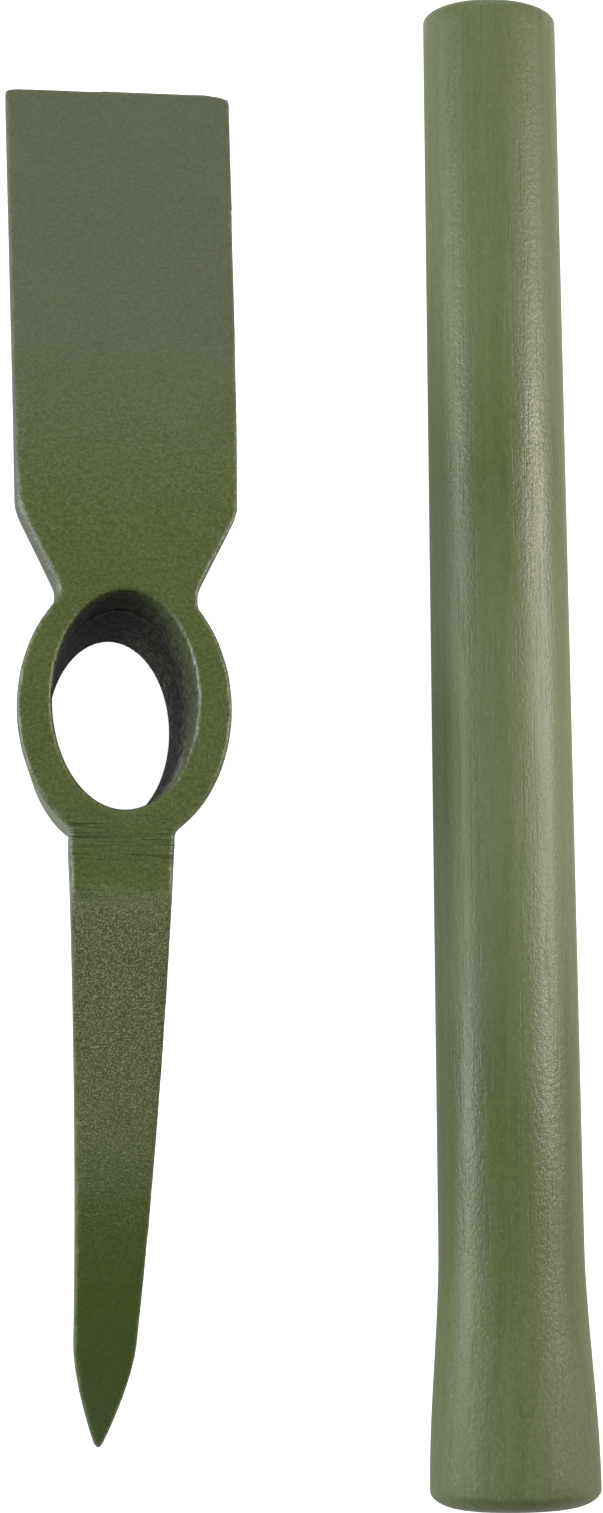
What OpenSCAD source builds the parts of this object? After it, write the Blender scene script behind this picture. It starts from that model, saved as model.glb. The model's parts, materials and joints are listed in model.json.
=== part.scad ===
// Grub hoe, laid out in its two pieces: a one-piece forged head with a flat adze blade,
// a tapered oval eye and a pick, and the wooden handle that is drawn through the eye.
// Millimetres, +Z up. The set lies on the plane z = 0 with the adze and the handle's slim
// end towards +Y. The origin is under the middle of the set.

/* [Eye and socket] */
// Width of the eye at its mouth, across the head
eye_w = 38; // [32:0.5:46]
// Length of the eye at its mouth, along the head
eye_l = 58; // [48:0.5:70]
// Width of the eye at its narrow lower end
eye_low_w = 33.4; // [28:0.2:36]
// Depth of the socket, from the mouth down to its lower rim
socket_h = 50; // [40:1:62]
// Wall beside the eye, at the mouth
side_wall = 9.3; // [7:0.1:14]
// Wall between the eye and the adze, at the mouth
adze_wall = 6; // [5:0.1:12]
// Wall between the eye and the pick, at the mouth
pick_wall = 10; // [6:0.1:15]
// Wall round the eye at the lower rim
rim_wall = 7; // [5:0.1:12]

/* [Adze blade] */
// Reach of the adze from the middle of the eye to the cutting edge
adze_reach = 181.4; // [150:0.2:220]
// How much shorter the blade is at one corner of the cutting edge than at the other
edge_skew = 2; // [0:0.2:5]
// Width of the cutting edge
adze_edge_w = 64; // [54:0.5:80]
// Width of the blade at its shoulders
adze_shoulder_w = 59.5; // [52:0.5:72]
// Width of the neck between the eye and the shoulders
adze_neck_w = 38.4; // [30:0.2:44]
// Distance from the neck out to the shoulders
shoulder_run = 21.5; // [15:0.5:32]
// Rounding of the shoulders
shoulder_r = 8; // [3:0.5:11]
// Rounding of the neck's corners
neck_r = 5; // [2:0.5:8]
// Radius of the bend that carries the blade downwards
adze_bend_r = 195; // [150:5:300]
// Length of the bend, measured along the head
adze_bend_run = 55; // [40:1:70]
// Thickness of the blade beside the socket
adze_root_t = 9; // [7:0.5:16]
// Thickness of the blade where the ground bevel begins
adze_t = 5.5; // [4:0.5:8]
// Thickness left at the cutting edge
adze_edge_t = 1.6; // [1:0.1:3]
// Length of the bevel ground on the underside
bevel_l = 12; // [6:1:20]
// Clipped corner of the cutting edge: how much is lost across the blade
clip_w = 7.5; // [2:0.5:12]
// Clipped corner of the cutting edge: how much is lost along the blade
clip_l = 1.6; // [0.5:0.1:4]

/* [Pick] */
// Reach of the pick from the middle of the eye to its tip
pick_reach = 193; // [160:1:230]
// Width of the pick at its root
pick_root_w = 26.5; // [22:0.5:32]
// Width of the pick where the point begins
pick_w = 15.8; // [13:0.2:22]
// Width of the blunt tip
tip_w = 2.4; // [1.5:0.1:5]
// Length of the point
point_l = 28; // [18:1:40]
// Fullness of the point's sides: 1 is straight, more is rounder
point_curve = 1.5; // [1:0.1:2.5]
// Radius of the curve that carries the pick downwards
pick_bend_r = 236; // [220:1:320]
// Thickness of the pick at its root
pick_root_t = 16; // [13:0.5:24]
// Thickness of the pick where the point begins
pick_t = 13; // [9:0.5:16]
// Thickness of the blunt tip
tip_t = 3; // [2:0.5:5]
// Extra thickness under the pick where it leaves the socket
root_gusset = 5; // [0:0.5:18]
// Length over which that extra thickness fades out
gusset_run = 25; // [15:1:45]

/* [Handle] */
// Length of the handle
handle_l = 417; // [330:1:520]
// Thickness of the oval handle as a share of its width
handle_oval = 0.805; // [0.74:0.005:0.85]
// Clearance where the handle's shaft passes the narrow end of the eye
pass_clear = 1.4; // [0.8:0.1:4]
// Clearance between the handle's butt and the mouth of the eye
mouth_clear = 0.8; // [0.1:0.1:2]
// Loss of width from the flare to the slim end
shaft_taper = 1.9; // [0:0.1:5]
// Length of the flare that wedges in the eye
flare_l = 66; // [50:1:90]
// Length of the butt beyond the flare, at its full width
butt_run = 5; // [2:0.5:10]
// Rounding of the butt's rim, along the handle
butt_round_l = 5; // [2:0.5:8]
// Rounding of the butt's rim, across the handle
butt_round_w = 11; // [2:0.5:14]
// Rounding of the slim end's rim, along the handle
slim_round_l = 3; // [1:0.5:6]
// Rounding of the slim end's rim, across the handle
slim_round_w = 6; // [1:0.5:9]

/* [Layout] */
// Clear space between the head and the handle
lay_gap = 50.4; // [20:0.1:90]
// How far the eye lies from the middle of the set, towards +Y
eye_ahead = 2.4; // [-20:0.1:20]
// How far the handle is turned out of line with the head
handle_turn = 0.62; // [0:0.01:3]

/* [Hidden] */
$fn = 96;

head_colour = [0.33, 0.40, 0.21];
handle_colour = [0.42, 0.48, 0.32];
// Steps along a curved stretch of an outline
curve_steps = 14;
// How far a cutting or joining shape runs past the face it crosses
past = 1;

// Eye and socket: the lower ends keep the proportions of the upper ones
eye_low_share = eye_low_w / eye_w;
socket_w = eye_w + 2 * side_wall;
socket_l = eye_l + adze_wall + pick_wall;
socket_low_share = (eye_low_w + 2 * rim_wall) / socket_w;
socket_back = (pick_wall - adze_wall) / 2;
rim_out = socket_l / 2 * socket_low_share - socket_back;

// The arms begin inside the eye, which is cut through them last, and bend from the socket's two ends
arm_start = eye_l / 3;
adze_root = eye_l / 2 + adze_wall;
pick_root = eye_l / 2 + pick_wall;
neck_at = eye_l / 2;

// Adze: the bend, then a straight stretch down to the edge
adze_bend = asin(adze_bend_run / adze_bend_r);
adze_arc_l = adze_bend_r * adze_bend * PI / 180;
adze_end = adze_arc_l + (adze_reach - adze_root - adze_bend_run) / cos(adze_bend);

// Pick: one curve all the way, with the point as its last stretch
pick_bend = asin((pick_reach - pick_root) / pick_bend_r);
pick_arc_l = pick_bend_r * pick_bend * PI / 180;
point_at = pick_arc_l - point_l;

// The head rests on the pick's tip and, on the other side of the eye, on whichever it meets
// first: the socket's rim or the adze's edge. With a short pick it stands flat on the rim.
tip_out = pick_reach - tip_t * sin(pick_bend);
tip_low = pick_bend_r * (1 - cos(pick_bend)) + tip_t * cos(pick_bend);
edge_out = adze_reach - adze_edge_t * sin(adze_bend);
edge_low = adze_bend_r * (1 - cos(adze_bend)) + (adze_end - adze_arc_l) * sin(adze_bend)
    + adze_edge_t * cos(adze_bend);
head_tip = max(0, min(
    atan((tip_low - socket_h) / (tip_out + rim_out)),
    atan((tip_low - edge_low) / (tip_out + edge_out))
));
head_rise = max(
    socket_h * cos(head_tip) + rim_out * sin(head_tip),
    edge_low * cos(head_tip) + edge_out * sin(head_tip)
);

// Handle: its thickness comes from the eye that it passes through and wedges in
butt_t = eye_w - mouth_clear;
shaft_t = eye_low_w - pass_clear;
butt_w = butt_t / handle_oval;
shaft_w = shaft_t / handle_oval;
slim_w = shaft_w - shaft_taper;
slim_t = slim_w * handle_oval;
flare_at = butt_run + flare_l;
// It lies on the rims of its two ends, so its axis leans by the difference between them
handle_lean = atan((butt_t - slim_t) / 2 / (handle_l - butt_round_l - slim_round_l));
handle_rise = butt_t / 2 * cos(handle_lean) + butt_round_l * sin(handle_lean);

// Layout: the two pieces side by side, centred on the origin
handle_half_x = butt_w / 2 + handle_l / 2 * sin(handle_turn);
set_w = adze_edge_w + lay_gap + 2 * handle_half_x;
head_x = adze_edge_w / 2 - set_w / 2;
handle_x = set_w / 2 - handle_half_x;

function unit(v) = v / norm(v);

// Points of the arc that rounds corner b, between its neighbours a and c
function corner(a, b, c, r, steps) =
    let (
        to_a = unit(a - b),
        to_c = unit(c - b),
        half = acos(to_a * to_c) / 2,
        middle = b + unit(to_a + to_c) * r / sin(half),
        from = b + to_a * r / tan(half) - middle,
        side = sign(to_a.x * to_c.y - to_a.y * to_c.x),
        turn = -side * (180 - 2 * half),
        first = atan2(from.y, from.x)
    )
    [for (i = [0:steps]) middle + r * [cos(first + turn * i / steps), sin(first + turn * i / steps)]];

// A point d below a curve of radius r that bends down from a root, s along the curve
function bent(root, r, s, d) =
    let (a = s / r * 180 / PI)
    [root + (r - d) * sin(a), (r - d) * cos(a) - r];

// The same for each arm: the adze's bend ends in a straight stretch, and the pick's goes on to its tip
function adze_point(s, d) =
    bent(adze_root, adze_bend_r, min(s, adze_arc_l), d)
    + max(0, s - adze_arc_l) * [cos(adze_bend), -sin(adze_bend)];
function pick_point(s, d) = bent(pick_root, pick_bend_r, s, d);

// Thickness of the adze and of the pick at a distance s from the socket
function adze_depth(s) =
    s <= adze_end - bevel_l
    ? adze_root_t + (adze_t - adze_root_t) * s / (adze_end - bevel_l)
    : adze_edge_t + (adze_t - adze_edge_t) * (adze_end - s) / bevel_l;
function pick_depth(s) =
    s <= point_at
    ? pick_root_t + (pick_t - pick_root_t) * s / point_at
        + root_gusset * pow(max(0, 1 - s / gusset_run), 2)
    : tip_t + (pick_t - tip_t) * (pick_arc_l - s) / point_l;

// Places along each arm at which its outline has a point
adze_steps = concat(
    [for (i = [0:curve_steps]) adze_arc_l * i / curve_steps],
    [adze_end - bevel_l, adze_end]
);
pick_steps = concat(
    [for (i = [0:curve_steps]) point_at * i / curve_steps],
    [point_at + point_l / 2, pick_arc_l]
);

// Side outline of the adze arm, as [along, up]
function adze_side() = concat(
    [[arm_start, 0]],
    [for (s = adze_steps) adze_point(s, 0)],
    [for (i = [len(adze_steps) - 1:-1:0]) adze_point(adze_steps[i], adze_depth(adze_steps[i]))],
    [[arm_start, -adze_depth(0)]]
);

// Side outline of the pick arm, as [along, up], reaching towards +X of the outline
function pick_side() = concat(
    [[arm_start, 0]],
    [for (s = pick_steps) pick_point(s, 0)],
    [for (i = [len(pick_steps) - 1:-1:0]) pick_point(pick_steps[i], pick_depth(pick_steps[i]))],
    [[arm_start, -pick_depth(0)]]
);

// Plan of the adze arm, from the neck to the cutting edge, with one clipped corner
function adze_plan() =
    let (
        start = [adze_neck_w / 2, arm_start],
        neck = [adze_neck_w / 2, neck_at],
        shoulder = [adze_shoulder_w / 2, neck_at + shoulder_run],
        edge = [adze_edge_w / 2, adze_reach],
        side = [
            for (p = corner(start, neck, shoulder, neck_r, curve_steps)) p,
            for (p = corner(neck, shoulder, edge, shoulder_r, curve_steps)) p
        ]
    )
    concat(
        [start],
        side,
        [edge - [0, clip_l], edge - [clip_w, 0]],
        [[-edge.x, edge.y - edge_skew]],
        [for (i = [len(side) - 1:-1:0]) [-side[i].x, side[i].y]],
        [[-start.x, start.y]]
    );

// Plan of the pick arm, tapering to the full-sided point
function pick_plan() =
    let (
        side = concat(
            [[pick_root_w / 2, -arm_start], [pick_root_w / 2, -pick_root]],
            [
                for (i = [0:curve_steps])
                    let (x = i / curve_steps)
                    [
                        (tip_w + (pick_w - tip_w) * (1 - pow(x, point_curve))) / 2,
                        -(pick_reach - point_l * (1 - x))
                    ]
            ]
        )
    )
    concat(side, [for (i = [len(side) - 1:-1:0]) [-side[i].x, side[i].y]]);

// A side outline drawn as a solid: [along, up] becomes Y and Z, and w is its width in X
module side_solid(outline, w) {
    rotate([90, 0, 90])
        translate([0, 0, -w / 2])
            linear_extrude(w)
                polygon(outline);
}

module adze_arm() {
    intersection() {
        side_solid(adze_side(), adze_edge_w + 2 * past);
        translate([0, 0, -adze_reach])
            linear_extrude(adze_reach + past)
                polygon(adze_plan());
    }
}

module pick_arm() {
    intersection() {
        mirror([0, 1, 0])
            side_solid(pick_side(), socket_w);
        translate([0, 0, -pick_reach])
            linear_extrude(pick_reach + past)
                polygon(pick_plan());
    }
}

// A tapered oval, full size at z = 0 and low_share of that at z = -h
module tapered_oval(w, l, low_share, h) {
    translate([0, 0, -h])
        scale([w, l, 1])
            cylinder(h = h, d1 = low_share, d2 = 1);
}

// The outside of the socket. It stands back towards the pick, where the wall is thicker.
module socket() {
    translate([0, -socket_back, 0])
        tapered_oval(socket_w, socket_l, socket_low_share, socket_h);
}

// The eye, run past both faces of the socket at the same taper
module eye() {
    closing = (1 - eye_low_share) / socket_h;
    mouth = 1 + closing * past;
    translate([0, 0, past])
        tapered_oval(
            eye_w * mouth,
            eye_l * mouth,
            (1 - closing * (socket_h + past)) / mouth,
            socket_h + 2 * past
        );
}

// The forged head, with the middle of the eye's mouth at the origin
module head_shape() {
    difference() {
        union() {
            socket();
            adze_arm();
            pick_arm();
        }
        eye();
    }
}

// Half width of the handle at a distance s from the butt, before its ends are rounded
function handle_r(s) =
    let (
        flare = min(1, max(0, (flare_at - s) / flare_l)),
        taper = max(0, s - flare_at) / (handle_l - flare_at)
    )
    (shaft_w - shaft_taper * taper + (butt_w - shaft_w) * (3 * pow(flare, 2) - 2 * pow(flare, 3))) / 2;

// Half of the handle's outline, as [half width, distance from the butt]
function handle_half() = concat(
    [[0, 0]],
    [
        for (i = [0:curve_steps])
            let (a = 90 * i / curve_steps)
            [butt_w / 2 - butt_round_w * (1 - sin(a)), butt_round_l * (1 - cos(a))]
    ],
    [
        for (i = [1:curve_steps])
            let (s = butt_run + flare_l * i / curve_steps)
            [handle_r(s), s]
    ],
    [
        for (i = [0:curve_steps])
            let (a = 90 * i / curve_steps)
            [slim_w / 2 - slim_round_w * (1 - cos(a)), handle_l - slim_round_l * (1 - sin(a))]
    ],
    [[0, handle_l]]
);

// The handle, with its butt at the origin and its length along +Y, broad side down.
// Each quarter of the oval is flattened by itself and the four are joined.
module handle_shape() {
    rotate([-90, 0, 0])
        for (quarter = [0:3])
            scale([1, handle_oval, 1])
                rotate(90 * quarter)
                    rotate_extrude(angle = 90)
                        polygon(handle_half());
}

module head() {
    color(head_colour)
        translate([head_x, eye_ahead, head_rise])
            rotate([-head_tip, 0, 0])
                head_shape();
}

module handle() {
    color(handle_colour)
        translate([handle_x, 0, 0])
            rotate([0, 0, handle_turn])
                translate([0, -handle_l / 2, handle_rise])
                    rotate([-handle_lean, 0, 0])
                        handle_shape();
}

head();
handle();
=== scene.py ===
import json
import math

import bmesh
import bpy
import numpy as np
from mathutils import Matrix, Vector


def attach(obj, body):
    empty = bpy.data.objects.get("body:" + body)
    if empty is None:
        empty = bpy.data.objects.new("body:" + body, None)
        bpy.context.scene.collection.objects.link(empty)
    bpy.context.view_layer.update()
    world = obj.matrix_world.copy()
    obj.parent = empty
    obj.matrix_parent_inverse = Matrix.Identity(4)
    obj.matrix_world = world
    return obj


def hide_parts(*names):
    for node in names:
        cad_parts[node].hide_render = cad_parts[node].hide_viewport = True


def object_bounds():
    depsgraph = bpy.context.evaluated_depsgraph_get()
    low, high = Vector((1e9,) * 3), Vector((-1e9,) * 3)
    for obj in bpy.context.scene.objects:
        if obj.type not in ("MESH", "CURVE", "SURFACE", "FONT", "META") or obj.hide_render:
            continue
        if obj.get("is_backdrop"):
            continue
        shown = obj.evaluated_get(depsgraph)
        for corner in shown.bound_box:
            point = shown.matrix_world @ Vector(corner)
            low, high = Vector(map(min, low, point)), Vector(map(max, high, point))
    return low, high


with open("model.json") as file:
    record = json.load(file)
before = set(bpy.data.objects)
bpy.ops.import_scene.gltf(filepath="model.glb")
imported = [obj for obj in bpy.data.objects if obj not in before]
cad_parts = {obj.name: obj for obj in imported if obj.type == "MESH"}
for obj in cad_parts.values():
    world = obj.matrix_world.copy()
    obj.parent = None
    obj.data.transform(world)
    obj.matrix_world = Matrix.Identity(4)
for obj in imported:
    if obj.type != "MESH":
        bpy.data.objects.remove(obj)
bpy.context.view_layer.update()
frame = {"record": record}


# ---------------------------------------------------------------------------------------------
# The head is a single drop forging: a flat adze blade, a tapered oval eye and a tapering pick.
# The bars are drawn out of the socket under the hammer, the eye is punched through, and the
# cooled forging is trimmed, ground at the pick's root and sprayed with satin olive paint.
# ---------------------------------------------------------------------------------------------

mounts = {mount["name"]: mount for mount in frame["record"]["mounts"]}

# Sizes in metres, from the middle of the eye's mouth: X across, Y towards the blade, Z up.
eye_width, eye_length, eye_depth = 0.038, 0.058, 0.050
eye_narrowing = 0.0334 / 0.038
ring_width, ring_length, ring_back = 0.0566, 0.074, 0.002
ring_low_width, ring_low_length = 0.0452, 0.062
bar_start = 0.0193

blade_reach, blade_root, blade_bend_run, blade_bend_radius = 0.1824, 0.035, 0.055, 0.195
neck_at, neck_width, shoulder_run, shoulder_width, edge_width = 0.029, 0.0384, 0.0215, 0.0595, 0.064
blade_thick, blade_thin, bevel_length, edge_thick = 0.009, 0.0055, 0.012, 0.0016
edge_skew, clip_width, clip_length = 0.002, 0.0075, 0.0016

pick_reach, pick_root, pick_bend_radius = 0.1934, 0.039, 0.236
pick_root_width, pick_width, point_length, point_width = 0.0275, 0.0168, 0.028, 0.0014
pick_root_thick, pick_thick, point_thick, root_fullness = 0.016, 0.013, 0.003, 0.005
fullness_run, pick_set_over = 0.025, 0.0005
blade_draft, pick_draft = 0.15, 0.06
neck_softness, shoulder_softness, point_curve = 0.0012, 0.0024, 1.5
rubbed_width, rubbed_least, rubbed_from, rubbed_run = 0.0026, 0.42, 0.064, 0.012


def only(obj):
    """Leaves one object selected and active, in object mode."""
    if bpy.context.object and bpy.context.object.mode != "OBJECT":
        bpy.ops.object.mode_set(mode="OBJECT")
    bpy.ops.object.select_all(action="DESELECT")
    obj.select_set(True)
    bpy.context.view_layer.objects.active = obj


def edit_faces(obj, wanted):
    """Opens the object in edit mode with the wanted faces selected."""
    only(obj)
    bpy.ops.object.mode_set(mode="EDIT")
    bpy.ops.mesh.select_mode(type="FACE")
    bpy.ops.mesh.select_all(action="DESELECT")
    mesh = bmesh.from_edit_mesh(obj.data)
    for face in mesh.faces:
        face.select_set(wanted(face))
    bmesh.update_edit_mesh(obj.data)


def draft(obj, places, row, slope):
    """Narrows a bar towards its underside, as a forging is so that it leaves its die."""
    only(obj)
    bpy.ops.object.mode_set(mode="EDIT")
    bpy.ops.mesh.select_mode(type="VERT")
    mesh = bmesh.from_edit_mesh(obj.data)
    for y in places:
        width, top, low = row(y)
        for point in mesh.verts:
            point.select_set(abs(abs(point.co.y) - y) < 0.0001 and point.co.z < (top + low) / 2)
        bmesh.update_edit_mesh(obj.data)
        narrower = 1 - 2 * (top - low) * slope / width
        bpy.ops.transform.resize(value=(narrower, 1, 1), center_override=(0, 0, 0))
    bpy.ops.object.mode_set(mode="OBJECT")


def cut_off(obj, place, facing):
    """Cuts away what lies beyond a plane and closes the cut."""
    edit_faces(obj, lambda face: True)
    bpy.ops.mesh.bisect(
        plane_co=place,
        plane_no=Vector(facing).normalized(),
        clear_outer=True,
        use_fill=True,
        threshold=0.000001,
    )
    bpy.ops.object.mode_set(mode="OBJECT")


def finish_with(obj, name, kind, **settings):
    """Adds a modifier, sets it up and applies it."""
    only(obj)
    modifier = obj.modifiers.new(name, kind)
    for key, value in settings.items():
        setattr(modifier, key, value)
    bpy.ops.object.modifier_apply(modifier=modifier.name)


def tapered_oval(name, width, length, low_width, low_length, top, low, back):
    """A closed oval drum, full size at its top and narrower at its lower end."""
    bpy.ops.object.select_all(action="DESELECT")
    bpy.ops.mesh.primitive_cylinder_add(
        vertices=160, radius=0.5, depth=top - low, location=(0, -back, (top + low) / 2)
    )
    drum = bpy.context.object
    drum.name = name
    bpy.ops.object.transform_apply(location=True, rotation=False, scale=False)
    edit_faces(drum, lambda face: True)
    bpy.ops.transform.resize(value=(width, length, 1), center_override=(0, -back, 0))
    edit_faces(drum, lambda face: face.normal.z < -0.9)
    bpy.ops.transform.resize(
        value=(low_width / width, low_length / length, 1), center_override=(0, -back, low)
    )
    bpy.ops.object.mode_set(mode="OBJECT")
    return drum


def hinge(distance, softness):
    """Rises from nothing along a straight slope, with its corner rounded off."""
    if abs(distance) >= softness:
        return max(0.0, distance)
    return (distance + softness) ** 2 / (4 * softness)


def underside(y, section):
    """Height of a bent bar's underside, its thickness being measured square to its top."""
    seat = y
    for _ in range(8):
        top, angle, thick = section(seat)
        seat = y + thick * math.sin(angle)
    return top - thick * math.cos(angle)


def blade_section(y):
    """Top, slope and thickness of the blade at a distance from the eye."""
    bend = math.asin(blade_bend_run / blade_bend_radius)
    arc = blade_bend_radius * bend
    end = arc + (blade_reach - blade_root - blade_bend_run) / math.cos(bend)
    run = max(0.0, y - blade_root)
    if run <= blade_bend_run:
        angle = math.asin(run / blade_bend_radius)
        top, along = -blade_bend_radius * (1 - math.cos(angle)), blade_bend_radius * angle
    else:
        angle, along = bend, arc + (run - blade_bend_run) / math.cos(bend)
        top = -blade_bend_radius * (1 - math.cos(bend)) - (run - blade_bend_run) * math.tan(bend)
    ground = min(1.0, (end - along) / bevel_length)
    thick = blade_thick + (blade_thin - blade_thick) * min(1.0, along / (end - bevel_length))
    return top, angle, edge_thick + (thick - edge_thick) * ground


def blade_row(y):
    """Width, top and underside of the blade at a distance from the eye."""
    spread = (shoulder_width - neck_width) / shoulder_run
    flare = (edge_width - shoulder_width) / (blade_reach - neck_at - shoulder_run)
    width = neck_width + spread * hinge(y - neck_at, neck_softness)
    width -= (spread - flare) * hinge(y - neck_at - shoulder_run, shoulder_softness)
    return width, blade_section(y)[0], underside(y, blade_section)


def pick_section(y):
    """Top, slope and thickness of the pick at a distance from the eye."""
    run = max(0.0, y - pick_root)
    angle = math.asin(run / pick_bend_radius)
    bend = math.asin((pick_reach - pick_root) / pick_bend_radius)
    along, end = pick_bend_radius * angle, pick_bend_radius * bend
    top = -pick_bend_radius * (1 - math.cos(angle))
    to_point = min(1.0, along / (end - point_length))
    thick = pick_root_thick + (pick_thick - pick_root_thick) * to_point
    thick += root_fullness * max(0.0, 1 - along / fullness_run) ** 2
    return top, angle, point_thick + (thick - point_thick) * min(1.0, (end - along) / point_length)


def pick_row(y):
    """Width, top and underside of the pick at a distance from the eye."""
    run = max(0.0, y - pick_root)
    from_tip = min(1.0, (pick_reach - y) / point_length)
    straight = pick_root_width + (pick_width - pick_root_width) * min(
        1.0, run / (pick_reach - point_length - pick_root)
    )
    width = point_width + (straight - point_width) * (1 - (1 - from_tip) ** point_curve)
    return width, pick_section(y)[0], underside(y, pick_section)


def draw_out(name, way, places, row):
    """A bar started as a block in the socket and drawn out, row by row, to its end."""
    block_length = 0.004
    width, top, low = row(places[0])
    bpy.ops.object.select_all(action="DESELECT")
    bpy.ops.mesh.primitive_cube_add(
        size=1,
        location=(0, way * (places[0] - block_length / 2), (top + low) / 2),
        scale=(width, block_length, top - low),
    )
    bar = bpy.context.object
    bar.name = name
    bpy.ops.object.transform_apply(location=True, rotation=False, scale=True)
    edit_faces(bar, lambda face: face.normal.y * way > 0.9)
    for here, there in zip(places, places[1:]):
        width, top, low = row(here)
        new_width, new_top, new_low = row(there)
        rise = (new_top + new_low - top - low) / 2
        bpy.ops.mesh.extrude_region_move(
            TRANSFORM_OT_translate={"value": (0, way * (there - here), rise)}
        )
        bpy.ops.transform.resize(
            value=(new_width / width, 1, (new_top - new_low) / (top - low)),
            center_override=(0, way * there, (new_top + new_low) / 2),
        )
    bpy.ops.object.mode_set(mode="OBJECT")
    return bar


head = tapered_oval(
    "hoe_head", ring_width, ring_length, ring_low_width, ring_low_length, 0.0, -eye_depth, ring_back
)

blade_places = (
    [bar_start, 0.0270]
    + [0.0278 + 0.0004 * i for i in range(8)]
    + [0.0325 + 0.0025 * i for i in range(6)]
    + [0.0480 + 0.0006 * i for i in range(9)]
    + [0.0550 + 0.0025 * i for i in range(15)]
    + [0.1000 + 0.0100 * i for i in range(7)]
    + [0.1680, 0.1700, 0.1740, 0.1780, blade_reach]
)
blade = draw_out("blade", 1, blade_places, blade_row)
draft(blade, blade_places, blade_row, blade_draft)
cut_off(blade, (edge_width / 2, blade_reach, 0), (-edge_skew, edge_width, 0))
cut_off(blade, (edge_width / 2 - clip_width, blade_reach, 0), (clip_length, clip_width, 0))

# The blade's left edge is rubbed down more than its right, most of all at the shoulder.
rubbed = blade.data.attributes.new("bevel_weight_edge", "FLOAT", "EDGE")
for line in blade.data.edges:
    ends = [blade.data.vertices[i].co for i in line.vertices]
    middle = (ends[0] + ends[1]) / 2
    width, top, low = blade_row(middle.y)
    left_top = all(end.x < 0 and end.z > (top + low) / 2 for end in ends)
    if left_top and abs(ends[0].y - ends[1].y) > 0.0001:
        at_shoulder = min(1.0, max(0.0, (rubbed_from - middle.y) / rubbed_run))
        rubbed.data[line.index].value = rubbed_least + (1 - rubbed_least) * at_shoulder
finish_with(blade, "rubbed_edge", "BEVEL", limit_method="WEIGHT", width=rubbed_width, segments=1)

pick_places = (
    [bar_start, pick_root]
    + [pick_root + 0.0025 * i for i in range(1, 13)]
    + [0.0750 + 0.0075 * i for i in range(12)]
    + [0.1640 + 0.0020 * i for i in range(14)]
    + [0.1920, pick_reach]
)
pick = draw_out("pick", -1, pick_places, pick_row)
draft(pick, pick_places, pick_row, pick_draft)
pick.data.transform(Matrix.Translation((-pick_set_over, 0, 0)))
point_slope = math.asin((pick_reach - pick_root) / pick_bend_radius)
cut_off(
    pick,
    (0, -pick_reach, pick_row(pick_reach)[1]),
    (0, -math.cos(point_slope), -math.sin(point_slope)),
)

# The bars and the socket are knit into one skin, and the last remesh sets how fine it stays.
knit, fine_knit, even_knit = 0.0006, 0.0005, 0.00082
only(head)
blade.select_set(True)
pick.select_set(True)
bpy.ops.object.join()
finish_with(head, "one_forging", "REMESH", mode="VOXEL", voxel_size=knit)

# The punch runs past both ends of the socket, on the eye's own taper.
over = 0.004
spread = (1 - eye_narrowing) * over / eye_depth
punch = tapered_oval(
    "eye_punch",
    eye_width * (1 + spread),
    eye_length * (1 + spread),
    eye_width * (eye_narrowing - spread),
    eye_length * (eye_narrowing - spread),
    over,
    -eye_depth - over,
    0.0,
)
finish_with(head, "punched_eye", "BOOLEAN", object=punch, operation="DIFFERENCE", solver="EXACT")
bpy.data.objects.remove(punch, do_unlink=True)
finish_with(head, "fine_surface", "REMESH", mode="VOXEL", voxel_size=fine_knit)
finish_with(head, "eased_edges", "SMOOTH", factor=0.5, iterations=3)
finish_with(head, "even_surface", "REMESH", mode="VOXEL", voxel_size=even_knit)
finish_with(head, "evened_mesh", "SMOOTH", factor=0.5, iterations=1)
bpy.ops.object.shade_smooth()

eye_mount = mounts["eye"]
tip = math.atan2(eye_mount["axis"][1], eye_mount["axis"][2])
head.matrix_world = Matrix.Translation(eye_mount["pos_m"]) @ Matrix.Rotation(-tip, 4, "X")
only(head)
bpy.ops.object.transform_apply(location=True, rotation=True, scale=True)


def mark_edges(obj, passes):
    """Stores how far each point stands out from those round it, so that paint can go bare grey there,
    for edge marks and for the painted highlight on the eye's rim.
    """
    mesh = obj.data
    ends = np.empty(len(mesh.edges) * 2, np.int32)
    mesh.edges.foreach_get("vertices", ends)
    first, second = ends[0::2], ends[1::2]
    places = np.empty(len(mesh.vertices) * 3, np.float32)
    mesh.vertices.foreach_get("co", places)
    places = places.reshape(-1, 3)
    outward = np.empty(len(mesh.vertices) * 3, np.float32)
    mesh.vertex_normals.foreach_get("vector", outward)
    outward = outward.reshape(-1, 3)
    step = places[second] - places[first]
    step /= np.maximum(np.linalg.norm(step, axis=1), 1e-9)[:, None]
    count = np.bincount(ends, minlength=len(places))
    stands = np.bincount(first, -(step * outward[first]).sum(1), len(places))
    stands += np.bincount(second, (step * outward[second]).sum(1), len(places))
    stands /= count
    for _ in range(passes):
        spread = np.bincount(first, stands[second], len(places))
        spread += np.bincount(second, stands[first], len(places))
        stands = (stands + spread / count) / 2
    edge = mesh.attributes.new("edge", "FLOAT", "POINT")
    edge.data.foreach_set("value", np.clip(stands * 3, 0, 1).astype(np.float32))


def feed(tree, socket, value):
    """Gives an input its value: another node's output to link, or a number or colour to set."""
    if isinstance(value, bpy.types.NodeSocket):
        tree.links.new(value, socket)
    else:
        socket.default_value = value


def add(tree, kind, settings=None, **inputs):
    """Adds a node, with its settings and its inputs by name."""
    made = tree.nodes.new(kind)
    for key, value in (settings or {}).items():
        setattr(made, key, value)
    for key, value in inputs.items():
        feed(tree, made.inputs[key.replace("_", " ")], value)
    return made


def worked_out(tree, operation, *values):
    """One Math node, on numbers or on what other nodes give."""
    made = tree.nodes.new("ShaderNodeMath")
    made.operation = operation
    for socket, value in zip(made.inputs, values):
        feed(tree, socket, value)
    return made.outputs["Value"]


def plus(tree, first, second):
    """Two values added."""
    return worked_out(tree, "ADD", first, second)


def times(tree, first, second):
    """Two values multiplied."""
    return worked_out(tree, "MULTIPLY", first, second)


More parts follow.
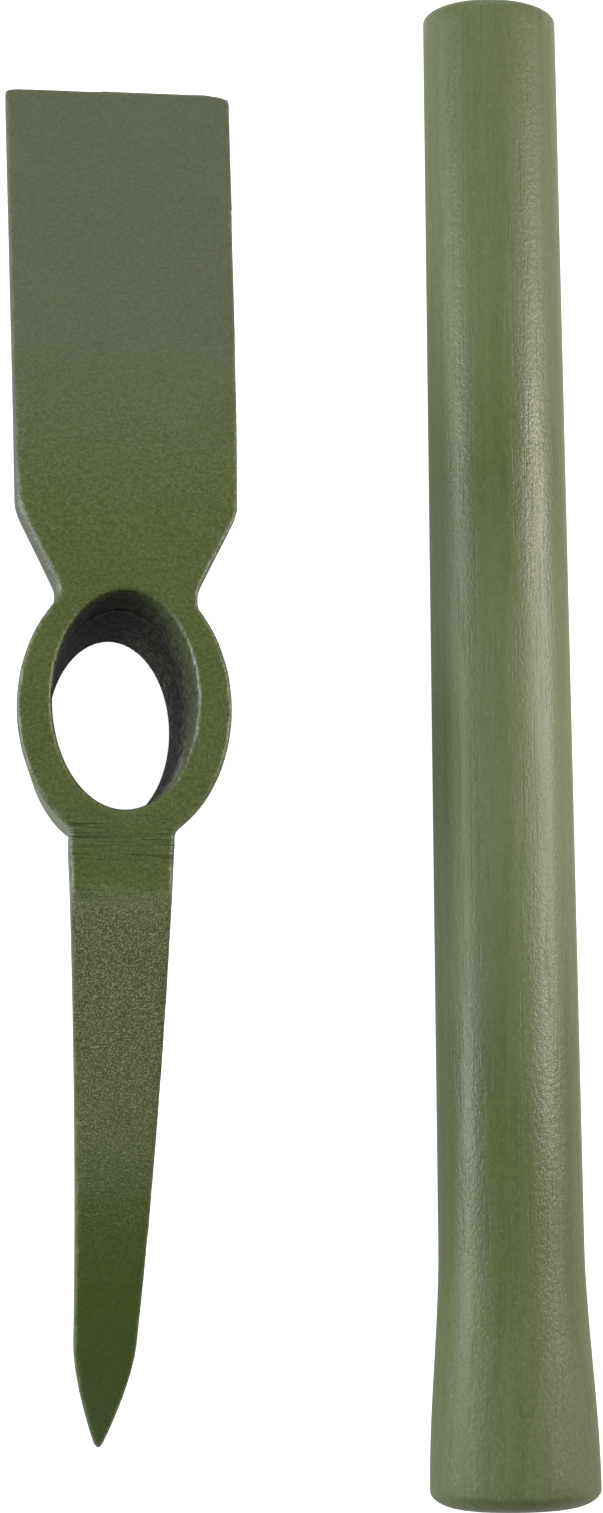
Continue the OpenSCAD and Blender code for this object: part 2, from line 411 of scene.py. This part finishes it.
def between(tree, value, low, high, to_low=0.0, to_high=1.0):
    """Eases a value from one range to another."""
    made = add(
        tree,
        "ShaderNodeMapRange",
        {"interpolation_type": "SMOOTHSTEP"},
        Value=value,
        From_Min=low,
        From_Max=high,
        To_Min=to_low,
        To_Max=to_high,
    )
    return made.outputs["Result"]


def mixed(tree, amount, under, over):
    """Lays one colour over another."""
    made = tree.nodes.new("ShaderNodeMix")
    made.data_type = "RGBA"
    factor, first_colour, second_colour = made.inputs[0], made.inputs[6], made.inputs[7]
    feed(tree, factor, amount)
    feed(tree, first_colour, under)
    feed(tree, second_colour, over)
    return made.outputs[2]


def noise(tree, vector, scale, detail=2.0, roughness=0.5, distortion=0.0):
    """Soft random pattern, its scale in lumps a metre."""
    made = add(
        tree,
        "ShaderNodeTexNoise",
        Vector=vector,
        Scale=scale,
        Detail=detail,
        Roughness=roughness,
        Distortion=distortion,
    )
    return made.outputs["Fac"]


def zone(tree, value, start, full, fading, gone):
    """A mask that is one between two places, with a soft border at each."""
    return times(tree, between(tree, value, start, full), between(tree, value, gone, fading))


def stretched(tree, vector, x, y, z):
    """The same place with its axes stretched, so that a pattern runs one way."""
    return add(tree, "ShaderNodeMapping", Vector=vector, Scale=(x, y, z)).outputs["Vector"]


def new_group(name, takes, gives):
    """An empty node group with named inputs and outputs."""
    tree = bpy.data.node_groups.new(name, "ShaderNodeTree")
    for label, kind, value in takes:
        socket = tree.interface.new_socket(label, in_out="INPUT", socket_type=kind)
        if value is not None:
            socket.default_value = value
    for label, kind in gives:
        tree.interface.new_socket(label, in_out="OUTPUT", socket_type=kind)
    return tree, tree.nodes.new("NodeGroupInput").outputs, tree.nodes.new("NodeGroupOutput").inputs


def use_group(tree, group, **inputs):
    """Places a node group in a material."""
    made = tree.nodes.new("ShaderNodeGroup")
    made.node_tree = group
    for key, value in inputs.items():
        feed(tree, made.inputs[key.replace("_", " ")], value)
    return made.outputs


# Sprayed paint: cloudy tone, orange peel, and pale flecks; on the head's paint the flecks are painted
# glints on the peel, on the handle pale marks in the coat.
sprayed, given, out = new_group(
    "sprayed_paint",
    [
        ("Vector", "NodeSocketVector", None),
        ("Thick Tone", "NodeSocketColor", None),
        ("Thin Tone", "NodeSocketColor", None),
        ("Fleck Tone", "NodeSocketColor", None),
        ("Flecks", "NodeSocketFloat", 0.2),
        ("Fleck Scale", "NodeSocketFloat", 1800.0),
        ("Peel Scale", "NodeSocketFloat", 700.0),
    ],
    [
        ("Color", "NodeSocketColor"),
        ("Height", "NodeSocketFloat"),
        ("Roughness", "NodeSocketFloat"),
    ],
)
cloud = noise(sprayed, given["Vector"], 34.0, 5.0, 0.62)
fine = noise(sprayed, given["Vector"], 1000.0, 2.0, 0.6)
tone = plus(sprayed, times(sprayed, cloud, 0.22), times(sprayed, fine, 0.78))
paint = mixed(sprayed, between(sprayed, tone, 0.42, 0.58), given["Thick Tone"], given["Thin Tone"])
fleck_mask = noise(sprayed, given["Vector"], given["Fleck Scale"], 1.0, 0.4)
fleck_mask = times(sprayed, between(sprayed, fleck_mask, 0.60, 0.74), given["Flecks"])
sprayed.links.new(mixed(sprayed, fleck_mask, paint, given["Fleck Tone"]), out["Color"])
peel = noise(sprayed, given["Vector"], given["Peel Scale"], 3.0, 0.55)
sprayed.links.new(plus(sprayed, peel, times(sprayed, fleck_mask, 0.6)), out["Height"])
sprayed.links.new(between(sprayed, tone, 0.3, 0.7, 0.32, 0.41), out["Roughness"])

# Worn edges: the edge mark, broken up so that it comes and goes. The head also lays a painted
# highlight with it along the right of the eye's rim.
edge_marks_group, given, out = new_group(
    "worn_and_highlit_edges",
    [
        ("Vector", "NodeSocketVector", None),
        ("Edge", "NodeSocketFloat", 0.0),
        ("Wear", "NodeSocketFloat", 0.5),
    ],
    [("Mask", "NodeSocketFloat")],
)
breakup = noise(edge_marks_group, given["Vector"], 260.0, 4.0, 0.65)
breakup = times(edge_marks_group, given["Edge"], between(edge_marks_group, breakup, 0.34, 0.62, 0.25, 1.0))
edge_marks_group.links.new(times(edge_marks_group, between(edge_marks_group, breakup, 0.10, 0.60), given["Wear"]), out["Mask"])


def head_place(tree):
    """Where a point lies on the head: X across, Y towards the blade, Z up out of the eye."""
    place = tree.nodes.new("ShaderNodeTexCoord").outputs["Object"]
    return add(
        tree,
        "ShaderNodeMapping",
        {"vector_type": "TEXTURE"},
        Vector=place,
        Location=eye_mount["pos_m"],
        Rotation=(-tip, 0, 0),
    ).outputs["Vector"]


steel_olive, steel_olive_thin = (0.066, 0.097, 0.018, 1), (0.092, 0.126, 0.030, 1)
steel_fleck, bare_and_highlight_grey = (0.30, 0.34, 0.19, 1), (0.30, 0.31, 0.29, 1)
# Painted shade for the pits between the pick's pebbles, and a painted glint for their tops.
pit_shade, painted_glint_tone = (0.030, 0.050, 0.008, 1), (0.38, 0.42, 0.17, 1)
# A painted shade for the pick's point, and a painted sheen for the blade's outer part.
point_shade_olive, sheen_grey = (0.052, 0.098, 0.002, 1), (0.094, 0.102, 0.090, 1)
# A painted shade for the ground grooves, and a light grey for the blade's faces that look to the left.
groove_shade, left_face_grey = (0.022, 0.038, 0.004, 1), (0.105, 0.112, 0.098, 1)
# How strongly edges go bare grey: on the right of the eye's mouth this is a painted highlight,
# elsewhere wear.
rim_highlight, outer_rub = 0.8, 0.38

# Places along the head where each finish, painted shade and painted sheen starts and is full, and for
# some where it fades and is gone.
pebbled_skin = (-0.046, -0.060, -0.080, -0.166)
ground_root = (-0.0285, -0.0330, -0.0410, -0.0450)
ground_low = (-0.0490, -0.0500, -0.0522, -0.0535)
shaded_point, sheen_blade = (-0.098, -0.160), (0.078, 0.104)
left_face_blade, coarse_blade = (0.024, 0.034), (0.040, 0.095)

# The same across the eye's mouth, and down its wall.
mouth_right, punch_ridge = (0.010, 0.016), (-0.0205, -0.0190, -0.0180, -0.0165)

steel_paint = bpy.data.materials.new("painted_steel")
steel_paint.use_nodes = True
tree = steel_paint.node_tree
shader = tree.nodes["Principled BSDF"]
place = head_place(tree)
split = add(tree, "ShaderNodeSeparateXYZ", Vector=place).outputs
across, along = split["X"], split["Y"]
normal = tree.nodes.new("ShaderNodeNewGeometry").outputs["Normal"]
facing = add(tree, "ShaderNodeSeparateXYZ", Vector=normal).outputs

# The pick's top keeps the pebbled skin of the forging from its root to near its point.
pebbled = zone(tree, along, *pebbled_skin)
pebble = noise(tree, place, 2400.0, 2.0, 0.55)
# On the steel the paint's pale flecks are painted glints on the peel, with more of them on the pebbled
# skin.
coat = use_group(
    tree,
    sprayed,
    Vector=place,
    Thick_Tone=steel_olive,
    Thin_Tone=steel_olive_thin,
    Fleck_Tone=steel_fleck,
    Flecks=plus(tree, 0.22, times(tree, pebbled, 0.3)),
    Fleck_Scale=1900.0,
    Peel_Scale=900.0,
)
# Painted shade darkens the pits between the pebbles, and painted glints light their tops.
pit_shading = times(tree, between(tree, pebble, 0.47, 0.37), times(tree, pebbled, 0.55))
painted_glint = times(tree, between(tree, pebble, 0.53, 0.61), times(tree, pebbled, 0.62))
colour = mixed(tree, pit_shading, coat["Color"], pit_shade)
colour = mixed(tree, painted_glint, colour, painted_glint_tone)

# Painted shade makes the pick darker and greener towards its point, and a painted sheen makes the
# blade's outer part greyer, where it faces the back light.
colour = mixed(tree, between(tree, along, *shaded_point, 0.0, 0.62), colour, point_shade_olive)
painted_sheen = between(tree, along, *sheen_blade, 0.0, 0.30)
painted_sheen = times(tree, painted_sheen, between(tree, pebble, 0.38, 0.60, 0.20, 1.55))
colour = mixed(tree, painted_sheen, colour, sheen_grey)

# Fine lines run across the pick's root where it was ground.
ground = noise(tree, stretched(tree, place, 40.0, 2900.0, 40.0), 1.0, 3.0, 0.6)
root_lines = zone(tree, along, *ground_root)
low_lines = zone(tree, along, *ground_low)
ground_zone = plus(tree, root_lines, times(tree, low_lines, 0.5))
ground_zone = times(tree, ground_zone, between(tree, facing["Z"], 0.55, 0.85))
groove = times(tree, between(tree, ground, 0.55, 0.63), ground_zone)
burr = times(tree, between(tree, ground, 0.40, 0.30), ground_zone)
colour = mixed(tree, times(tree, groove, 0.75), colour, groove_shade)
colour = mixed(tree, times(tree, burr, 0.14), colour, steel_fleck)

# The blade's faces that look to the left are laid over with a dull light grey, in patches.
left_face_patches = noise(tree, stretched(tree, place, 1.0, 0.25, 1.0), 420.0, 4.0, 0.65)
left_side = times(tree, between(tree, facing["X"], -0.35, -0.80), between(tree, along, *left_face_blade))
left_side = times(tree, left_side, between(tree, left_face_patches, 0.34, 0.60, 0.35, 0.95))
colour = mixed(tree, left_side, colour, left_face_grey)

# The edges are rubbed bare here and there. At the eye's mouth only the right of the rim goes bare
# grey, and that grey is a painted highlight.
edge = add(tree, "ShaderNodeAttribute", {"attribute_name": "edge"}).outputs["Fac"]
from_middle = plus(
    tree,
    worked_out(tree, "POWER", worked_out(tree, "DIVIDE", across, eye_width / 2), 2.0),
    worked_out(tree, "POWER", worked_out(tree, "DIVIDE", along, eye_length / 2), 2.0),
)
mouth_highlight = between(tree, across, *mouth_right, 0.0, rim_highlight)
wear_and_rim_highlight = between(tree, from_middle, 1.15, 1.45, mouth_highlight, outer_rub)
grey_edges = use_group(tree, edge_marks_group, Vector=place, Edge=edge, Wear=wear_and_rim_highlight)["Mask"]
tree.links.new(mixed(tree, grey_edges, colour, bare_and_highlight_grey), shader.inputs["Base Color"])

rough = plus(tree, coat["Roughness"], times(tree, pebbled, 0.05))
tree.links.new(rough, shader.inputs["Roughness"])
height = plus(tree, coat["Height"], times(tree, pebble, times(tree, pebbled, 2.6)))
height = worked_out(tree, "SUBTRACT", height, times(tree, groove, 0.6))
grain = plus(tree, between(tree, along, *coarse_blade, 0.5, 1.25), times(tree, pebbled, 0.7))
bump = add(tree, "ShaderNodeBump", Height=times(tree, height, grain), Strength=0.85, Distance=0.0005)
tree.links.new(bump.outputs["Normal"], shader.inputs["Normal"])
shader.inputs["Specular IOR Level"].default_value = 0.5

# The eye's wall is left as it was punched, with dark scale on it and overspray near its mouth. The
# scale comes in a lit and a shaded copy: painted light on the right of the wall, which faces the left
# softbox, and painted shade on its left.
shaded_scale, shaded_crust = (0.008, 0.008, 0.008, 1), (0.038, 0.038, 0.037, 1)
lit_scale, lit_crust = (0.060, 0.060, 0.050, 1), (0.390, 0.390, 0.315, 1)
overspray, overspray_thin = (0.040, 0.066, 0.010, 1), (0.062, 0.090, 0.016, 1)

eye_scale = bpy.data.materials.new("eye_scale")
eye_scale.use_nodes = True
tree = eye_scale.node_tree
shader = tree.nodes["Principled BSDF"]
place = head_place(tree)
split = add(tree, "ShaderNodeSeparateXYZ", Vector=place).outputs
across, along, deep = split["X"], split["Y"], split["Z"]
crust = noise(tree, place, 520.0, 5.0, 0.65)
lit_side = between(tree, across, -0.002, 0.013)
lit_and_shaded_scale = mixed(
    tree,
    between(tree, crust, 0.38, 0.68),
    mixed(tree, lit_side, shaded_scale, lit_scale),
    mixed(tree, lit_side, shaded_crust, lit_crust),
)

# The spray reaches furthest down the wall at the right of the blade's side.
coat = use_group(
    tree,
    sprayed,
    Vector=place,
    Thick_Tone=overspray,
    Thin_Tone=overspray_thin,
    Fleck_Tone=steel_fleck,
    Flecks=0.2,
    Fleck_Scale=1500.0,
    Peel_Scale=650.0,
)
drift = noise(tree, place, 90.0, 4.0, 0.6)
corner = plus(tree, across, times(tree, along, 0.5))
reach = between(tree, corner, 0.004, 0.020, 0.0005, 0.0280)
reach = plus(tree, reach, times(tree, drift, 0.006))
depth = worked_out(tree, "DIVIDE", times(tree, deep, -1.0), reach)
mist = between(tree, depth, 1.10, 0.05, 0.0, 0.85)
mist = times(tree, mist, between(tree, crust, 0.25, 0.60, 0.6, 1.0))
wall = mixed(tree, mist, lit_and_shaded_scale, coat["Color"])

# Along the right of the mouth's rim a painted highlight, laid on as bare grey.
edge = add(tree, "ShaderNodeAttribute", {"attribute_name": "edge"}).outputs["Fac"]
mouth_highlight = between(tree, across, *mouth_right, 0.0, rim_highlight)
grey_edges = use_group(tree, edge_marks_group, Vector=place, Edge=edge, Wear=mouth_highlight)["Mask"]
tree.links.new(mixed(tree, grey_edges, wall, bare_and_highlight_grey), shader.inputs["Base Color"])
tree.links.new(between(tree, crust, 0.3, 0.7, 0.62, 0.48), shader.inputs["Roughness"])
shader.inputs["Specular IOR Level"].default_value = 0.25
ridge = zone(tree, deep, *punch_ridge)
height = plus(tree, crust, times(tree, ridge, 0.9))
bump = add(tree, "ShaderNodeBump", Height=height, Strength=0.9, Distance=0.0012)
tree.links.new(bump.outputs["Normal"], shader.inputs["Normal"])

head.data.materials.clear()
head.data.materials.append(steel_paint)
head.data.materials.append(eye_scale)
from_eye = (Matrix.Translation(eye_mount["pos_m"]) @ Matrix.Rotation(-tip, 4, "X")).inverted()
wall_reach, wall_facing, rim_depth = 1.06, 0.75, 0.0004


def in_the_eye(face):
    """Whether a face belongs to the eye's wall: inside its oval and looking in at its middle."""
    middle = from_eye @ face.calc_center_median()
    facing = from_eye.to_3x3() @ face.normal
    taper = 1 + middle.z / eye_depth * (1 - eye_narrowing)
    out = math.hypot(middle.x / (eye_width / 2), middle.y / (eye_length / 2)) / taper
    inward = -(facing.x * middle.x + facing.y * middle.y) / max(1e-6, math.hypot(middle.x, middle.y))
    return out < wall_reach and inward > wall_facing and -eye_depth < middle.z < -rim_depth


edit_faces(head, in_the_eye)
head.active_material_index = 1
bpy.ops.object.material_slot_assign()
bpy.ops.object.mode_set(mode="OBJECT")
mark_edges(head, 1)
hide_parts("head")
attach(head, "head")


# ---------------------------------------------------------------------------------------------
# The handle is a loose piece of turned hardwood, oval across, with a flared butt that wedges
# in the eye. It is shaped on a copying lathe, sanded lengthwise and given a thin satin coat
# of the same olive paint, so that the grain still shows through.
# ---------------------------------------------------------------------------------------------

# The shaft passes down through the eye with a little room, and the butt just enters its mouth.
handle_oval, pass_clearance, mouth_clearance, shaft_taper = 0.805, 0.0014, 0.0008, 0.0019
shaft_width = (eye_width * eye_narrowing - pass_clearance) / handle_oval
butt_width = (eye_width - mouth_clearance) / handle_oval
slim_width = shaft_width - shaft_taper
butt_run, flare_length = 0.005, 0.066
butt_round_length, butt_round_width = 0.005, 0.011
slim_round_length, slim_round_width = 0.003, 0.006
butt_middle = Vector(mounts["butt_face"]["pos_m"])
slim_middle = Vector(mounts["slim_end_face"]["pos_m"])
handle_length = (slim_middle - butt_middle).length


def handle_width(y):
    """Width of the handle at a distance from its butt."""
    flare = min(1.0, max(0.0, (butt_run + flare_length - y) / flare_length))
    taper = max(0.0, y - butt_run - flare_length) / (handle_length - butt_run - flare_length)
    return (
        shaft_width
        - (shaft_width - slim_width) * taper
        + (butt_width - shaft_width) * (3 * flare**2 - 2 * flare**3)
    )


butt_steps, shaft_steps, slim_steps = 12, 120, 10
rows = []
for i in range(butt_steps + 1):
    turn = math.radians(90 * i / butt_steps)
    y = butt_round_length * (1 - math.cos(turn))
    rows.append((y, butt_width - 2 * butt_round_width * (1 - math.sin(turn))))
shaft_length = handle_length - butt_round_length - slim_round_length
for i in range(1, shaft_steps):
    y = butt_round_length + shaft_length * i / shaft_steps
    rows.append((y, handle_width(y)))
for i in range(slim_steps + 1):
    turn = math.radians(90 * i / slim_steps)
    y = handle_length - slim_round_length * (1 - math.sin(turn))
    rows.append((y, slim_width - 2 * slim_round_width * (1 - math.cos(turn))))

bpy.ops.object.select_all(action="DESELECT")
bpy.ops.mesh.primitive_circle_add(
    vertices=128, radius=rows[0][1] / 2, fill_type="NGON", rotation=(math.radians(90), 0, 0)
)
handle = bpy.context.object
handle.name = "hoe_handle"
bpy.ops.object.transform_apply(location=True, rotation=True, scale=True)
edit_faces(handle, lambda face: True)
bpy.ops.transform.resize(value=(1, 1, handle_oval), center_override=(0, 0, 0))
for (here, width), (there, new_width) in zip(rows, rows[1:]):
    bpy.ops.mesh.extrude_region_move(TRANSFORM_OT_translate={"value": (0, there - here, 0)})
    bpy.ops.transform.resize(
        value=(new_width / width, 1, new_width / width), center_override=(0, there, 0)
    )
edit_faces(handle, lambda face: True)
bpy.ops.mesh.normals_make_consistent(inside=False)
bpy.ops.object.mode_set(mode="OBJECT")
bpy.ops.object.shade_smooth()

lengthwise = (slim_middle - butt_middle).normalized()
sideways = lengthwise.cross(Vector((0, 0, 1))).normalized()
lie = Matrix((sideways, lengthwise, sideways.cross(lengthwise))).transposed().to_4x4()
handle.matrix_world = Matrix.Translation(butt_middle) @ lie
bpy.ops.object.transform_apply(location=True, rotation=True, scale=True)

wood_olive, wood_olive_thin = (0.093, 0.128, 0.034, 1), (0.142, 0.184, 0.072, 1)
misted_olive, misted_olive_thin = (0.112, 0.148, 0.044, 1), (0.160, 0.202, 0.084, 1)
wood_fleck, rim_grey = (0.36, 0.40, 0.27, 1), (0.34, 0.35, 0.32, 1)
late_wood, open_pore = (0.060, 0.085, 0.022, 1), (0.050, 0.072, 0.020, 1)
butt_thinness, slim_thinness = (0.4, 0.4, 0.4, 1), (0.5, 0.5, 0.5, 1)

wood_paint = bpy.data.materials.new("painted_wood")
wood_paint.use_nodes = True
tree = wood_paint.node_tree
shader = tree.nodes["Principled BSDF"]
place = add(
    tree,
    "ShaderNodeMapping",
    {"vector_type": "TEXTURE"},
    Vector=tree.nodes.new("ShaderNodeTexCoord").outputs["Object"],
    Location=butt_middle,
    Rotation=lie.to_euler(),
).outputs["Vector"]
along = add(tree, "ShaderNodeSeparateXYZ", Vector=place).outputs["Y"]
near_butt = between(tree, along, 0.11, 0.01)

# The coat is thin in some places along the handle and thick in others, from butt to slim end.
patch = noise(tree, stretched(tree, place, 1.0, 0.3, 1.0), 45.0, 3.0, 0.6)
wandering = times(tree, worked_out(tree, "SUBTRACT", patch, 0.5), 0.08)
share = worked_out(tree, "DIVIDE", plus(tree, along, wandering), handle_length)
coats = add(tree, "ShaderNodeValToRGB", Fac=share)
stops = coats.color_ramp.elements
thinness_along = {0.04: 0.35, 0.15: 0.05, 0.28: 0.10, 0.42: 1.0, 0.55: 0.80, 0.67: 0.05, 0.79: 0.55}
for position, thinness in thinness_along.items():
    stops.new(position).color = (thinness, thinness, thinness, 1)
stops[0].color, stops[-1].color = butt_thinness, slim_thinness
thin = coats.outputs["Color"]
coat = use_group(
    tree,
    sprayed,
    Vector=stretched(tree, place, 1.0, 0.6, 1.0),
    Thick_Tone=mixed(tree, thin, wood_olive, wood_olive_thin),
    Thin_Tone=mixed(tree, thin, misted_olive, misted_olive_thin),
    Fleck_Tone=wood_fleck,
    Flecks=plus(tree, 0.07, times(tree, near_butt, 0.12)),
    Fleck_Scale=1600.0,
    Peel_Scale=1300.0,
)

# The wood's grain shows through: growth rings, long streaks and open pores.
ring_place = add(tree, "ShaderNodeMapping", Vector=place, Location=(0.009, 0, 0.031)).outputs["Vector"]
rings = add(
    tree,
    "ShaderNodeTexWave",
    {"wave_type": "RINGS", "rings_direction": "Y", "wave_profile": "SAW"},
    Vector=ring_place,
    Scale=120.0,
    Distortion=2.2,
    Detail=2.0,
    Detail_Scale=0.25,
).outputs["Fac"]
streak = noise(tree, stretched(tree, place, 380.0, 7.0, 380.0), 1.0, 4.0, 0.6)
pore = noise(tree, stretched(tree, place, 1500.0, 45.0, 1500.0), 1.0, 1.0, 0.4)
pore = between(tree, pore, 0.60, 0.70)
colour = mixed(tree, between(tree, streak, 0.35, 0.70, 0.0, 0.30), coat["Color"], wood_olive_thin)
colour = mixed(tree, between(tree, rings, 0.55, 1.0, 0.0, 0.16), colour, late_wood)
colour = mixed(tree, times(tree, pore, 0.22), colour, open_pore)
edge = add(tree, "ShaderNodeAttribute", {"attribute_name": "edge"}).outputs["Fac"]
grey_edges = use_group(tree, edge_marks_group, Vector=place, Edge=edge, Wear=0.5)["Mask"]
tree.links.new(mixed(tree, grey_edges, colour, rim_grey), shader.inputs["Base Color"])

# It is glossiest where the coat is thick, and duller towards the butt.
rough = plus(tree, between(tree, streak, 0.3, 0.7, 0.28, 0.36), times(tree, thin, 0.11))
rough = plus(tree, rough, times(tree, near_butt, 0.12))
tree.links.new(rough, shader.inputs["Roughness"])
lathe_wave = noise(tree, stretched(tree, place, 1.0, 0.4, 1.0), 38.0, 3.0, 0.45)
height = plus(tree, times(tree, coat["Height"], 0.42), times(tree, lathe_wave, 2.0))
height = plus(tree, height, times(tree, streak, 0.18))
height = plus(tree, height, times(tree, rings, 0.06))
height = worked_out(tree, "SUBTRACT", height, times(tree, pore, 0.1))
bump = add(tree, "ShaderNodeBump", Height=height, Strength=0.8, Distance=0.0004)
tree.links.new(bump.outputs["Normal"], shader.inputs["Normal"])
handle.data.materials.clear()
handle.data.materials.append(wood_paint)
mark_edges(handle, 1)
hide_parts("handle")
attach(handle, "handle")


# ---------------------------------------------------------------------------------------------
# The studio: a plain near-white table, big soft lights round the sides, and the camera almost
# straight above the two pieces.
# ---------------------------------------------------------------------------------------------

bpy.ops.object.select_all(action="DESELECT")
bpy.ops.mesh.primitive_plane_add(size=6, location=(0, 0, 0))
table = bpy.context.object
table.name = "studio_table"
table_white = bpy.data.materials.new("studio_white")
table_white.use_nodes = True
tree = table_white.node_tree
shader = tree.nodes["Principled BSDF"]
table_tone, table_glow, glow_when_seen = (0.66, 0.66, 0.66, 1), 0.22, 0.78
shader.inputs["Base Color"].default_value = table_tone
shader.inputs["Roughness"].default_value = 0.9
shader.inputs["Specular IOR Level"].default_value = 0.0
shader.inputs["Emission Color"].default_value = (1, 1, 1, 1)
seen = tree.nodes.new("ShaderNodeLightPath").outputs["Is Camera Ray"]
glow = plus(tree, times(tree, seen, glow_when_seen), table_glow)
tree.links.new(glow, shader.inputs["Emission Strength"])
table.data.materials.append(table_white)
table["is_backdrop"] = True

world = bpy.data.worlds.new("studio_room")
bpy.context.scene.world = world
world.use_nodes = True
tree = world.node_tree
sky = tree.nodes["Background"]
room_light, backdrop = (0.19, 0.19, 0.19, 1), (0.86, 0.86, 0.86, 1)
seen = tree.nodes.new("ShaderNodeLightPath").outputs["Is Camera Ray"]
tree.links.new(mixed(tree, seen, room_light, backdrop), sky.inputs["Color"])
sky.inputs["Strength"].default_value = 1.0


def softbox(name, towards, distance, width, height, power, tint):
    """A soft rectangular light that faces the middle of the set."""
    bpy.ops.object.select_all(action="DESELECT")
    where = Vector(towards).normalized() * distance
    bpy.ops.object.light_add(type="AREA", location=where)
    light = bpy.context.object
    light.name = name
    light.rotation_euler = (-where).to_track_quat("-Z", "Y").to_euler()
    light.data.shape = "RECTANGLE"
    light.data.size = width
    light.data.size_y = height
    light.data.energy = power
    light.data.color = tint
    light.visible_camera = False


softbox("left_softbox", (-1.0, 0.08, 0.40), 1.1, 0.64, 0.64, 10.7, (1.0, 1.0, 1.0))
softbox("right_softbox", (0.90, 0.19, 0.64), 1.1, 0.36, 0.44, 9.3, (1.0, 0.90, 0.88))
softbox("back_softbox", (0.0, 1.15, 0.66), 1.4, 1.3, 0.36, 4.8, (0.83, 0.76, 1.0))

camera_place, lens_length = (-0.123081, -0.11498, 0.820556), 71.38
tilt_x, tilt_y, roll = math.radians(7.652), math.radians(8.786), math.radians(0.164)
look = Vector((math.tan(tilt_y), math.tan(tilt_x), -1)).normalized()
level_right = look.cross(Vector((0, 1, 0))).normalized()
level_up = level_right.cross(look)
right = math.cos(roll) * level_right + math.sin(roll) * level_up
upward = math.cos(roll) * level_up - math.sin(roll) * level_right
view = Matrix((right, upward, -look)).transposed().to_4x4()
bpy.ops.object.select_all(action="DESELECT")
bpy.ops.object.camera_add()
camera = bpy.context.object
camera.name = "studio_camera"
camera.matrix_world = Matrix.Translation(camera_place) @ view
camera.data.sensor_fit = "AUTO"
camera.data.sensor_width = 36
camera.data.lens = lens_length
bpy.context.scene.camera = camera
bpy.context.scene.view_settings.view_transform = "Standard"

low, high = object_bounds()
